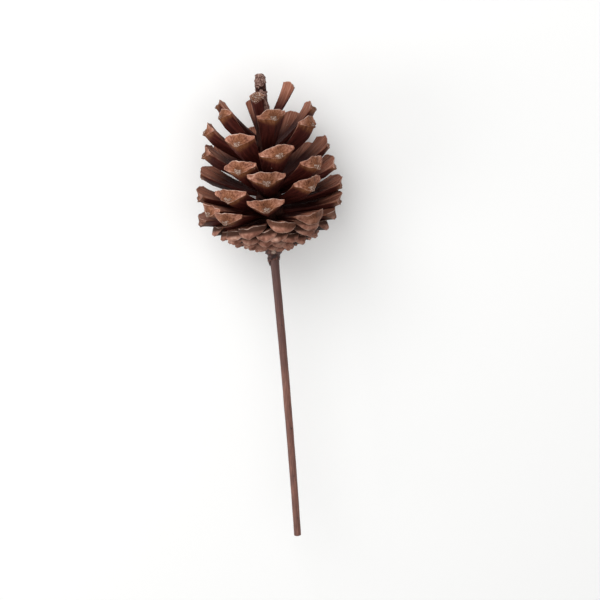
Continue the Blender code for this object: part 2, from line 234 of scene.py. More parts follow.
# Its solid: heights in mm where its section changes, and the chamfer of its two ends
SOLID_HEIGHTS = (0.0, -4.5, -8.5, -30.0, -52.0, -74.0, -96.0)
SOLID_SIDES = 12
SOLID_CHAMFER_MM = 0.25

# Glue bead round the stick, under the cone: height and outer radius in mm, from the top down
GLUE_PROFILE = (
    (1.9, 2.9), (1.5, 3.2), (0.3, 3.2), (-0.8, 3.1), (-1.5, 2.75), (-2.2, 2.5), (-3.9, 2.35),
    (-7.0, 2.1),
)
GLUE_TOP_MM = 1.9
GLUE_BOTTOM_MM = -3.9
GLUE_RAGGED_MM = 0.5
GLUE_SIDES, GLUE_ROWS = 72, 34
# Lumps: how many round the bead, height in mm and phase. They die out GLUE_LUMPS_END_MM below the top.
GLUE_LUMPS = ((2, 0.35, 1.57), (5, 0.2, 0.6))
GLUE_LUMPS_END_MM = 4.0
# Roughness: height in mm and lumps in a mm; it is half as high below GLUE_ROUGH_TO_MM
GLUE_ROUGHNESS = ((0.3, 0.9), (0.25, 2.3))
GLUE_ROUGH_TO_MM = -1.5
# A knob on each side, the chip at the front and the smear that runs down the left side
GLUE_KNOB_MM, GLUE_KNOB_AT_MM = 0.5, -1.0
GLUE_RADIUS_MM = 3.0
CHIP_AT_MM = -0.4
SMEAR_END_MM = -6.6
SMEAR_MM = 0.55
SMEAR_FROM_MM = -2.0
SMEAR_SPREAD = 0.6
GLUE_SKIN_MM = 0.08

# Lying pose
REST_ROLL_DEG = 0.5
REST_DIP_DEG = 1.8

# Camera: the photograph's, found back from where tips of scales and the stick's end show in it
PHOTO_PX = 600
MM_PER_PX = 0.41997
CAMERA_DISTANCE = 590 * MM
CAMERA_RISE_DEG = 10.0
CAMERA_LEAN_DEG = 4.373
CAMERA_ASIDE = (11.129 * MM, -20.789 * MM)
SENSOR_MM = 36


def linear(hex_colour):
    """The linear colour of an sRGB hex value."""
    parts = [int(hex_colour[i : i + 2], 16) / 255 for i in (1, 3, 5)]
    return tuple(p / 12.92 if p <= 0.04045 else ((p + 0.055) / 1.055) ** 2.4 for p in parts) + (1.0,)


def set_sockets(tree, node, sockets):
    """Sets a node's inputs. sockets maps an input's name or number to its value or to the output that
    it takes, or lists these for the first inputs."""
    named = dict(enumerate(sockets)) if isinstance(sockets, tuple) else sockets
    for name, value in named.items():
        if isinstance(value, bpy.types.NodeSocket):
            tree.links.new(value, node.inputs[name])
        else:
            node.inputs[name].default_value = value


def add_node(tree, kind, sockets=(), stops=(), **settings):
    """Adds a node and gives its outputs. stops are a colour ramp's places and sRGB hex colours."""
    node = tree.nodes.new(kind)
    for name, value in settings.items():
        setattr(node, name, value)
    set_sockets(tree, node, sockets)
    for index, (place, colour) in enumerate(stops):
        if index == len(node.color_ramp.elements):
            node.color_ramp.elements.new(1.0)
        node.color_ramp.elements[index].position = place
        node.color_ramp.elements[index].color = linear(colour)
    return node.outputs


def new_material(name):
    """An empty node material: its tree and its shader."""
    made = bpy.data.materials.new(name)
    made.use_nodes = True
    return made, made.node_tree, made.node_tree.nodes["Principled BSDF"]


def cone_wood():
    """Dry pine cone wood, as grown and weathered: matt, golden brown on the outer faces of the scales
    with fine lines that run from the umbo to a paler pinkish rim, a grey crust on the umbo, a warm
    brown facet under it, and smooth dark purple-brown blades with lengthwise lines."""
    made, tree, shader = new_material("dry_pine_cone_wood")
    calc, mix, span, band = "ShaderNodeMath", "ShaderNodeMix", "ShaderNodeMapRange", "ShaderNodeValToRGB"
    smooth, colours = {"interpolation_type": "SMOOTHSTEP"}, {"data_type": "RGBA"}
    around = add_node(tree, "ShaderNodeAttribute", attribute_name="from_umbo")["Vector"]
    _, side, above = add_node(tree, "ShaderNodeSeparateXYZ", (around,))
    found = []
    for name in ("faces", "marks", "own"):
        read = add_node(tree, "ShaderNodeAttribute", attribute_name=name)["Vector"]
        found += add_node(tree, "ShaderNodeSeparateXYZ", (read,))
    upper, lower, inner, umbo, rim, fall, tone, is_open, from_tip = found
    body = add_node(tree, "ShaderNodeTexCoord")["Object"]
    shift = add_node(tree, calc, (tone, 40.0), operation="MULTIPLY")[0]

    # Lines that fan out from the umbo: a line every 8 degrees, 0.4 mm apart at the middle of a face
    angle = add_node(tree, calc, (above, side), operation="ARCTAN2")
    reach = add_node(tree, "ShaderNodeVectorMath", (around,), operation="LENGTH")["Value"]
    slow = add_node(tree, calc, (reach, 0.12), operation="MULTIPLY")[0]
    fan = add_node(tree, "ShaderNodeCombineXYZ", (angle[0], slow, shift))[0]
    # Lengthwise lines on the blades, 0.8 mm apart and faint
    stretched = add_node(tree, "ShaderNodeVectorMath", (around, (0.06, 1.0, 0.3)), operation="MULTIPLY")
    moved = add_node(tree, "ShaderNodeCombineXYZ", {2: shift})
    moved = add_node(tree, "ShaderNodeVectorMath", (stretched[0], moved[0]), operation="ADD")[0]
    # And blotches 3 mm wide and grain 0.4 mm wide
    patterns = []
    for where, scale, detail, rough in (
        (fan, 7.0, 3.0, 0.65),
        (moved, 1.2, 3.0, 0.6),
        (body, 330.0, 3.0, 0.6),
        (body, 2600.0, 2.0, 0.6),
    ):
        pattern = {"Vector": where, "Scale": scale, "Detail": detail, "Roughness": rough}
        patterns.append(add_node(tree, "ShaderNodeTexNoise", pattern)["Fac"])
    fan_lines, blade_lines, blotches, grain = patterns

    # The outer face: golden round the umbo, pinkish and paler from 7 mm off it, with darker lines
    mixed = add_node(tree, calc, (blotches, 0.35), operation="MULTIPLY")[0]
    mixed = add_node(tree, calc, (fan_lines, 0.65, mixed), operation="MULTIPLY_ADD")[0]
    golden = ((0.36, "#44251A"), (0.47, "#73452E"), (0.57, "#905E44"), (0.68, "#AD7A5E"))
    golden = add_node(tree, band, (mixed,), golden)[0]
    pinkish = ((0.36, "#643B2E"), (0.47, "#93614E"), (0.57, "#B07D68"), (0.68, "#D2A594"))
    pinkish = add_node(tree, band, (mixed,), pinkish)[0]
    outer = add_node(tree, span, {"Value": reach, "From Min": 2.0, "From Max": 7.0}, **smooth)[0]
    face_open = add_node(tree, mix, {0: outer, 6: golden, 7: pinkish}, **colours)[2]
    # A shut head is plain pinkish brown, with painted shade from 1 mm above the umbo under the next lips
    shut = ((0.34, "#70483B"), (0.48, "#906353"), (0.58, "#A37766"), (0.7, "#BA9382"))
    shut = add_node(tree, band, (blotches,), shut)[0]
    lip_shade = {"Value": above, "From Min": 0.7, "From Max": 2.0}
    lip_shade = add_node(tree, span, lip_shade, **smooth)[0]
    face_shut = add_node(tree, mix, {0: lip_shade, 6: shut, 7: linear("#43291F")}, **colours)[2]
    face = add_node(tree, mix, {0: is_open, 6: face_shut, 7: face_open}, **colours)[2]
    near_umbo = {"Value": reach, "From Min": 3.0, "From Max": 1.0, "To Max": 0.55}
    near_umbo = add_node(tree, span, near_umbo, **smooth)[0]
    near_umbo = add_node(tree, calc, (near_umbo, is_open), operation="MULTIPLY")[0]
    face = add_node(tree, mix, {0: near_umbo, 6: face, 7: linear("#5A3624")}, **colours)[2]

    # The facet under the umbo is warm brown and darkens over three quarters of its length, its own colour
    # and painted shade where it faces down, and ends at the dark blade
    blade = ((0.3, "#2E100D"), (0.5, "#441B16"), (0.7, "#582922"))
    blade = add_node(tree, band, (blade_lines,), blade)[0]
    flank = ((0.32, "#50291A"), (0.5, "#7A4A2F"), (0.68, "#9A6848"))
    flank = add_node(tree, band, (mixed,), flank)[0]
    aside = add_node(tree, calc, (side,), operation="ABSOLUTE")[0]
    aside = {"Value": aside, "From Min": 2.5, "From Max": 8.0, "To Max": 0.35}
    aside = add_node(tree, span, aside, **smooth)[0]
    darker = {"Value": fall, "From Min": 0.08, "From Max": 0.72, "To Max": 0.9}
    darker = add_node(tree, span, darker, **smooth)[0]
    darker = add_node(tree, calc, (darker, is_open), operation="MULTIPLY")[0]
    flank = add_node(tree, mix, {0: darker, 6: flank, 7: linear("#481F17")}, **colours)[2]
    sunk = add_node(tree, span, {"Value": fall, "From Min": 0.45, "From Max": 1.0}, **smooth)[0]
    sunk = add_node(tree, calc, (sunk, aside), operation="MAXIMUM")[0]
    sunk = add_node(tree, calc, (sunk, is_open), operation="MULTIPLY")[0]
    flank = add_node(tree, mix, {0: sunk, 6: flank, 7: blade}, **colours)[2]
    # A shut scale has painted shade under its lip, from 0.5 mm behind the edge
    shade = add_node(tree, span, {"Value": fall, "From Min": 0.03, "From Max": 0.25}, **smooth)[0]
    stayed_shut = add_node(tree, calc, (1.0, is_open), operation="SUBTRACT")[0]
    shade = add_node(tree, calc, (shade, stayed_shut), operation="MULTIPLY")[0]
    flank = add_node(tree, mix, {0: shade, 6: flank, 7: linear("#2B1510")}, **colours)[2]

    # Inner side: light brown 2 mm behind the rim, dark from 13 mm behind it, own colour and painted shade
    inside = ((0.3, "#764538"), (0.5, "#99634F"), (0.7, "#BA8672"))
    inside = add_node(tree, band, (blade_lines,), inside)[0]
    deep = {"Value": from_tip, "From Min": 2.0, "From Max": 13.0}
    deep = add_node(tree, span, deep, **smooth)[0]
    inside = add_node(tree, mix, {0: deep, 6: inside, 7: linear("#381511")}, **colours)[2]

    colour = blade
    for share, over in ((upper, face), (lower, flank), (inner, inside)):
        colour = add_node(tree, mix, {0: share, 6: colour, 7: over}, **colours)[2]
    # Pale rims and keel edges: wear, and a painted highlight where the thin edges catch the light
    worn_and_highlit = add_node(tree, calc, (rim, blotches), operation="MULTIPLY")[0]
    worn_and_highlit = add_node(tree, span, {"Value": worn_and_highlit, "From Min": 0.2, "From Max": 0.75}, **smooth)[0]
    colour = add_node(tree, mix, {0: worn_and_highlit, 6: colour, 7: linear("#E6C6B6")}, **colours)[2]

    # Grey crust, patchy, with its palest grains 0.4 mm wide: on the umbos, and all over by the apex
    resin = add_node(tree, "ShaderNodeAttribute", attribute_name="resin")["Fac"]
    outside = add_node(tree, calc, (upper, lower), operation="MAXIMUM")[0]
    for share in (outside, 0.75):
        resin = add_node(tree, calc, (resin, share), operation="MULTIPLY")[0]
    crusted = add_node(tree, calc, (umbo, is_open), operation="MULTIPLY")[0]
    crusted = add_node(tree, calc, (crusted, resin), operation="MAXIMUM")[0]
    crusted = add_node(tree, calc, (crusted, grain), operation="MULTIPLY")[0]
    crusted = {"Value": crusted, "From Min": 0.3, "From Max": 0.5}
    crusted = add_node(tree, span, crusted, **smooth)[0]
    crust = ((0.38, "#563A2E"), (0.5, "#83675A"), (0.6, "#AE998B"), (0.7, "#D6C8BD"))
    crust = add_node(tree, band, (grain,), crust)[0]
    colour = add_node(tree, mix, {0: crusted, 6: colour, 7: crust}, **colours)[2]

    lightness = add_node(tree, span, {"Value": tone, "To Min": 0.84, "To Max": 1.14})[0]
    varied = add_node(tree, "ShaderNodeHueSaturation", {"Value": lightness, "Color": colour})[0]
    dull = add_node(tree, span, {"Value": blotches, "To Min": 0.5, "To Max": 0.75})[0]
    set_sockets(tree, shader, {"Base Color": varied, "Roughness": dull, "Specular IOR Level": 0.1})

    lined = add_node(tree, calc, (upper, is_open), operation="MULTIPLY")[0]
    lines = add_node(tree, mix, {0: lined, 2: blade_lines, 3: fan_lines}, data_type="FLOAT")[0]
    relief = add_node(tree, calc, (lines, grain), operation="ADD")[0]
    bump = add_node(tree, "ShaderNodeBump", {"Height": relief, "Strength": 0.55, "Distance": 0.25 * MM})
    set_sockets(tree, shader, {"Normal": bump[0]})
    return made


def crusty_bud():
    """The apex bud, scale ends grown together under dried resin: dull pinkish grey-brown crust with
    dark cracks between the knobs."""
    made, tree, shader = new_material("resin_crusted_bud")
    body = add_node(tree, "ShaderNodeTexCoord")["Object"]
    # Crust 0.8 mm across, and grit 0.25 mm
    crust = {"Vector": body, "Scale": 1250.0, "Detail": 3.0, "Roughness": 0.65}
    crust = add_node(tree, "ShaderNodeTexNoise", crust)["Fac"]
    grit = add_node(tree, "ShaderNodeTexNoise", {"Vector": body, "Scale": 4000.0, "Detail": 2.0})
    stops = ((0.34, "#3A221D"), (0.47, "#6E4E45"), (0.58, "#94756A"), (0.7, "#B9A196"))
    colour = add_node(tree, "ShaderNodeValToRGB", (crust,), stops)[0]
    set_sockets(tree, shader, {"Base Color": colour, "Roughness": 0.7, "Specular IOR Level": 0.25})
    high = add_node(tree, "ShaderNodeMath", (crust, grit["Fac"]), operation="ADD")[0]
    bump = add_node(tree, "ShaderNodeBump", {"Height": high, "Strength": 0.6, "Distance": 0.3 * MM})
    set_sockets(tree, shader, {"Normal": bump[0]})
    return made


def axis_wood_painted_shade():
    """The cone's bare axis: brown wood fibres, painted dark and matt as shade between the scales."""
    made, tree, shader = new_material("cone_axis_painted_shade")
    body = add_node(tree, "ShaderNodeTexCoord")["Object"]
    # Fibres 1.7 mm wide
    fibres = add_node(tree, "ShaderNodeTexNoise", {"Vector": body, "Scale": 600.0, "Detail": 3.0})
    stops = ((0.35, "#20100D"), (0.65, "#43241D"))
    colour = add_node(tree, "ShaderNodeValToRGB", (fibres["Fac"],), stops)[0]
    set_sockets(tree, shader, {"Base Color": colour, "Roughness": 0.8, "Specular IOR Level": 0.1})
    bump = add_node(tree, "ShaderNodeBump", {"Height": fibres["Fac"], "Distance": 0.3 * MM})
    set_sockets(tree, shader, {"Normal": bump[0]})
    return made


def stained_stick():
    """A thin round hardwood stick, stained reddish brown: lengthwise fibres that took the stain
    unevenly, and darker pores and specks along them."""
    made, tree, shader = new_material("brown_stained_wood_stick")
    noise_kind, mapping = "ShaderNodeTexNoise", "ShaderNodeMapping"
    mix, span = "ShaderNodeMix", "ShaderNodeMapRange"
    body = add_node(tree, "ShaderNodeTexCoord")["Object"]
    # Fibres 0.35 mm wide and about 12 mm long
    along = add_node(tree, mapping, {"Vector": body, "Scale": (2800.0, 85.0, 2800.0)})
    fibres = {"Vector": along[0], "Scale": 1.0, "Detail": 4.0, "Roughness": 0.6}
    fibres = add_node(tree, noise_kind, fibres)["Fac"]
    stops = ((0.3, "#4B2D26"), (0.48, "#70473B"), (0.62, "#885B4C"), (0.75, "#A37563"))
    colour = add_node(tree, "ShaderNodeValToRGB", (fibres,), stops)["Color"]
    # Patches of stain 8 mm long, and specks 0.7 mm wide
    patch_place = add_node(tree, mapping, {"Vector": body, "Scale": (300.0, 120.0, 300.0)})
    patches = add_node(tree, noise_kind, {"Vector": patch_place[0], "Scale": 1.0})["Fac"]
    speck_place = add_node(tree, mapping, {"Vector": body, "Scale": (1500.0, 600.0, 1500.0)})
    specks = add_node(tree, noise_kind, {"Vector": speck_place[0], "Scale": 1.0})["Fac"]
    # Darker towards the cone, from 60 mm to 20 mm below it
    length = add_node(tree, "ShaderNodeSeparateXYZ", (body,))["Y"]
    for value, low, high, most, stain in (
        (patches, 0.42, 0.7, 0.45, "#54352F"),
        (specks, 0.66, 0.74, 1.0, "#2F1C19"),
        (length, -0.036, 0.004, 0.6, "#452A2A"),
    ):
        share = {"Value": value, "From Min": low, "From Max": high, "To Max": most}
        share = add_node(tree, span, share, interpolation_type="SMOOTHSTEP")[0]
        stained = {0: share, 6: colour, 7: linear(stain)}
        colour = add_node(tree, mix, stained, data_type="RGBA")[2]
    set_sockets(tree, shader, {"Base Color": colour, "Roughness": 0.55})
    bump = add_node(tree, "ShaderNodeBump", {"Height": fibres, "Strength": 0.6, "Distance": 0.15 * MM})
    set_sockets(tree, shader, {"Normal": bump[0]})
    return made


def stained_glue():
    """Hot-melt glue stained with the stick: dark brown, lumpy and a little glossy, pale where the
    stain has chipped off."""
    made, tree, shader = new_material("stained_hot_melt_glue")
    body = add_node(tree, "ShaderNodeTexCoord")["Object"]
    # Blotches 1.2 mm wide
    blotches = add_node(tree, "ShaderNodeTexNoise", {"Vector": body, "Scale": 800.0, "Detail": 3.0})
    stops = ((0.35, "#2A1411"), (0.5, "#4A2822"), (0.68, "#7A5145"))
    colour = add_node(tree, "ShaderNodeValToRGB", (blotches["Fac"],), stops)["Color"]
    chip = add_node(tree, "ShaderNodeAttribute", attribute_name="chip")["Fac"]
    chipped = add_node(tree, "ShaderNodeMix", {0: chip, 6: colour, 7: linear("#BFA393")}, data_type="RGBA")
    set_sockets(tree, shader, {"Base Color": chipped[2], "Roughness": 0.42, "Specular IOR Level": 0.3})
    high = {"Height": blotches["Fac"], "Strength": 0.6, "Distance": 0.35 * MM}
    bump = add_node(tree, "ShaderNodeBump", high)
    set_sockets(tree, shader, {"Normal": bump[0]})
    return made


def stage_values(height):
    """The shape values of a scale whose tip is at this height in mm, in metres."""
    rows = np.array(GROWTH)
    values = [np.interp(height, rows[:, 0], column) * MM for column in rows[:, 1:].T]
    return dict(zip(GROWTH_FIELDS, values))


def bearings():
    """Each scale's turn round the cone, to the right of the front, in degrees."""
    ranks = np.arange(SCALE_COUNT)
    steps = np.interp(ranks, (TWIST_FROM, TWIST_TO), (CLOSED_TURN_DEG, OPEN_TURN_DEG))
    turned = np.cumsum(steps)
    return FRONT_BEARING_DEG - (turned - turned[FRONT_RANK])


def grow_scales():
    """Each scale's own values: its place on the cone, its shape and its accidents."""
    draw = random.Random(GROWTH_SEED)
    known = np.array(TIP_HEIGHTS)
    scales = []
    for rank, bearing in enumerate(bearings()):
        freedom = 1.0 if rank >= OPEN_RANK else CLOSED_FREEDOM
        height = np.interp(rank, known[:, 0], known[:, 1])
        height += freedom * draw.uniform(-HEIGHT_SPREAD_MM, HEIGHT_SPREAD_MM)
        bearing += freedom * draw.uniform(-BEARING_SPREAD_DEG, BEARING_SPREAD_DEG)
        spread = 1 + freedom * draw.uniform(-REACH_SPREAD, REACH_SPREAD)
        if rank in STRAYS:
            bearing, height, radius = STRAYS[rank]
        scale = stage_values(height)
        scale["tip_z"] = height * MM
        scale["tip_r"] = radius * MM if rank in STRAYS else scale["tip_r"] * spread
        scale["turn"] = math.radians(bearing - 90)
        scale["width"] *= 1 + freedom * draw.uniform(-WIDTH_SPREAD, WIDTH_SPREAD)
        roll = freedom * draw.uniform(-ROLL_SPREAD_DEG, ROLL_SPREAD_DEG)
        scale["roll"] = math.radians(STRAY_ROLLS.get(rank, roll))
        scale["yaw"] = freedom * draw.uniform(-YAW_SPREAD, YAW_SPREAD)
        scale["sag"] = np.interp(height, *zip(*SAG_SHARES))
        scales.append(scale)
    return scales


def store(mesh, name, kind, values):
    """Writes a value for every vertex."""
    attribute = mesh.attributes.new(name, kind, "POINT")
    field = "value" if kind == "FLOAT" else "vector"
    attribute.data.foreach_set(field, np.array(values, np.float32).ravel())


def scale_spots():
    """One point for each scale, with the growth values that the tree reads."""
    scales = grow_scales()[:BUD_RANK]
    mesh = bpy.data.meshes.new("scale_spots")
    mesh.from_pydata([(0, 0, 0)] * len(scales), [], [])
    draw = random.Random(TONE_SEED)
    for rank, scale in enumerate(scales):
        across, up = scale["tip_r"] - scale["root_r"], scale["tip_z"] - scale["root_z"]
        parted = np.interp(scale["tip_z"] / MM, (SHUT_BELOW_MM, PARTED_ABOVE_MM), (0, 1))
        scale["reach"] = (math.hypot(across, up), scale["corner"], scale["setback"])
        scale["head"] = (scale["width"], scale["depth"], scale["lower"])
        scale["root"] = (scale["root_r"], 0, scale["root_z"])
        scale["turned"] = (scale["roll"], math.atan2(up, across), scale["turn"])
        scale["tone"] = draw.random()
        scale["is_open"], scale["is_shut"] = parted, 1 - parted
        scale["resin"] = float(rank in CRUSTED_RANKS)
    for name in ("reach", "head", "root", "turned", "yaw", "sag", "tone", "is_open", "is_shut", "resin"):
        kind = "FLOAT_VECTOR" if isinstance(scales[0][name], tuple) else "FLOAT"
        store(mesh, name, kind, [scale[name] for scale in scales])
    return mesh


def cut_points(side):
    """The main points of the lengthwise cut at side, 0 in the middle and 1 at a corner. Each is
    (length, corner, setback) shares along the scale, (width, depth) shares up and the lower facet's
    share along, and a fixed height in metres."""
    keel = side**KEEL_POWER
    return {
        "root": (0, 0, 0, 0, 0, 0, 0),
        "middle": (0.55, 0, 0, 0, 0, 0, -HOLLOW * (1 - side**2)),
        "rim": (1, -(side**1.8), 0, ARCH_SHARE * (1 - side**2), 0, 0, 0),
        "keel": (1, -keel, keel - 1, 0, keel - 1, 0, -EDGE * keel),
        "low": (1, -keel, keel - 1, 0, keel - 1, 0.5 * side - 1, -EDGE),
        "under": (0, 0, 0, 0, 0, 0, -ROOT_THICKNESS),
    }


def blank_relief(start, share, side):
    """What stands off the plain cut, (along, up) in mm on a full-grown scale."""
    bell = math.exp(-((side / UMBO_SIDE) ** 2) - ((share - UMBO_SHARE) / UMBO_SPREAD) ** 2)
    ear = EAR_HEIGHT_MM * side**6
    if start == "rim":
        hollow = FACE_HOLLOW_MM * math.sin(math.pi * share) * (1 - side**2)
        out = UMBO_HEIGHT_MM * bell - hollow - RIM_STEP_MM * (share == 0)
        return out * FACE_LEAN[0], ear * (1 - share) - out * FACE_LEAN[1]
    if start == "keel":
        wide, deep = KEEL_UMBO_SPREADS
        bell = math.exp(-((side / wide) ** 2) - (share / deep) ** 2)
        return KEEL_UMBO_MM[0] * bell, -KEEL_UMBO_MM[1] * bell - KEEL_STEP_MM * (share == 0)
    if start == "low":
        ridge = math.exp(-((side / RIB_SPREAD) ** 2)) * math.sin(math.pi * share)
        return 0.0, -RIDGE_MM * ridge
    if start == "middle":
        groove = SEED_HOLLOW_MM * math.exp(-(((side - SEED_SIDE) / SEED_SPREAD) ** 2))
        midrib = MIDRIB_MM * math.exp(-((side / RIB_SPREAD) ** 2))
        return 0.0, ear * share**4 + (midrib - groove) * math.sin(math.pi * share) ** 0.7
    return 0.0, 0.0


def shut_relief(start, share, side):
    """What a head that stayed shut has besides, (along, up) in mm on a full-grown scale: a pillowy
    face and a full round lip over the scales below, with hardly an umbo."""
    bell = math.exp(-((side / UMBO_SIDE) ** 2) - ((share - UMBO_SHARE) / UMBO_SPREAD) ** 2)
    down = FULL_DEPTH_MM * (side**ROUND_POWER - side**KEEL_POWER)
    ear = EAR_HEIGHT_MM * side**6
    tuck = TUCK_MM * side**5
    if start == "rim":
        pillow = PILLOW_MM * math.sin(math.pi * share) * (1 - side**2)
        rounded = 1 - LIP_ROUNDING * max(0.0, (share - ROUNDED_FROM) / (1 - ROUNDED_FROM)) ** 2
        out = LIP_MM * share**1.3 * rounded * (1 - side**3) + pillow - 0.5 * UMBO_HEIGHT_MM * bell
        return out - tuck, down * share - ear * (1 - share)
    if start == "keel":
        out = LIP_MM * (1 - LIP_ROUNDING) * (1 - share) ** 1.5 * (1 - side**3)
        return out - tuck, down * (1 - share) ** 2
    if start == "low":
        return -tuck * (1 - share), 0.0
    if start == "middle":
        return -tuck * share**2, -ear * share**4
    return 0.0, 0.0


def scale_blank():
    """The blank that every scale is shaped from: a closed skin whose vertices know their place."""
    sides = [-side for side in reversed(COLUMN_SIDES[1:])] + list(COLUMN_SIDES)
    rows = [(start, end, share) for start, end, shares in BLANK_ROWS for share in shares]
    names = ("across", "along_by", "up_by", "fixed", "relief", "shut_relief", "faces", "marks")
    values = {name: [] for name in names}
    for across in sides:
        side = abs(across)
        points = cut_points(side)
        for start, end, share in rows:
            mixed = [a + (b - a) * share for a, b in zip(points[start], points[end])]
            along, up = blank_relief(start, share, side)
            top = start in ("root", "middle") or (start == "rim" and share == 0)
            pinch = PINCH_MM.get(side, 0.0)
            up += -pinch if top else pinch * (start != "rim")
            on_umbo, edge_distance = 0.0, NO_EDGE_MM
            if start == "rim":
                wide, deep = CRUST_SPREADS
                on_umbo = math.exp(-((side / wide) ** 4) - abs((share - UMBO_SHARE) / deep) ** 3)
                edge_distance = min(share * FULL_DEPTH_MM, 0.2 + (1 - share) * FULL_DEPTH_MM)
            elif start == "keel":
                wide, deep = KEEL_CRUST_SPREADS
                on_umbo = math.exp(-((side / wide) ** 4) - (share / deep) ** 2)
                edge_distance = 0.2 if share == 0 else NO_EDGE_MM
            elif start == "middle":
                edge_distance = min((1 - share) * INNER_LENGTH_MM, 0.3 + (1 - side) * HALF_WIDTH_MM)
            fall = {"keel": share, "low": 1 + share}.get(start, 0.0)
            values["across"].append(across)
            values["along_by"].append(mixed[:3])
            values["up_by"].append(mixed[3:6])
            values["fixed"].append(mixed[6])
            values["relief"].append((along * MM, 0, up * MM))
            along, up = shut_relief(start, share, side)
            values["shut_relief"].append((along * MM, 0, up * MM))
            values["faces"].append(
                (start == "rim" or (start == "keel" and share == 0), start == "keel" and share > 0,
                 start in ("root", "middle"))
            )
            values["marks"].append((on_umbo, math.exp(-((edge_distance / WORN_AND_HIGHLIT_MM) ** 2)), fall))
    count = len(rows)
    faces = []
    for column in range(len(sides) - 1):
        for row in range(count):
            here, there = column * count, (column + 1) * count
            following = (row + 1) % count
            faces.append((here + row, here + following, there + following, there + row))
    faces.append(tuple(range(count))[::-1])
    faces.append(tuple(range((len(sides) - 1) * count, len(sides) * count)))
    mesh = bpy.data.meshes.new("scale_blank")
    mesh.from_pydata([(0, 0, 0)] * (count * len(sides)), [], faces)
    for name, found in values.items():
        store(mesh, name, "FLOAT" if name in ("across", "fixed") else "FLOAT_VECTOR", found)
    blank = bpy.data.objects.new("scale_blank", mesh)
    bpy.context.scene.collection.objects.link(blank)
    return blank


def new_tree(name, inputs):
    """A geometry tree with named inputs: name, kind of socket and value."""
    tree = bpy.data.node_groups.new(name, "GeometryNodeTree")
    tree.interface.new_socket(name="Geometry", in_out="OUTPUT", socket_type="NodeSocketGeometry")
    tree.interface.new_socket(name="Geometry", in_out="INPUT", socket_type="NodeSocketGeometry")
    for label, kind, value in inputs:
        socket = tree.interface.new_socket(name=label, in_out="INPUT", socket_type=kind)
        if value is not None:
            socket.default_value = value
    return tree, tree.nodes.new("NodeGroupInput").outputs, tree.nodes.new("NodeGroupOutput").inputs[0]


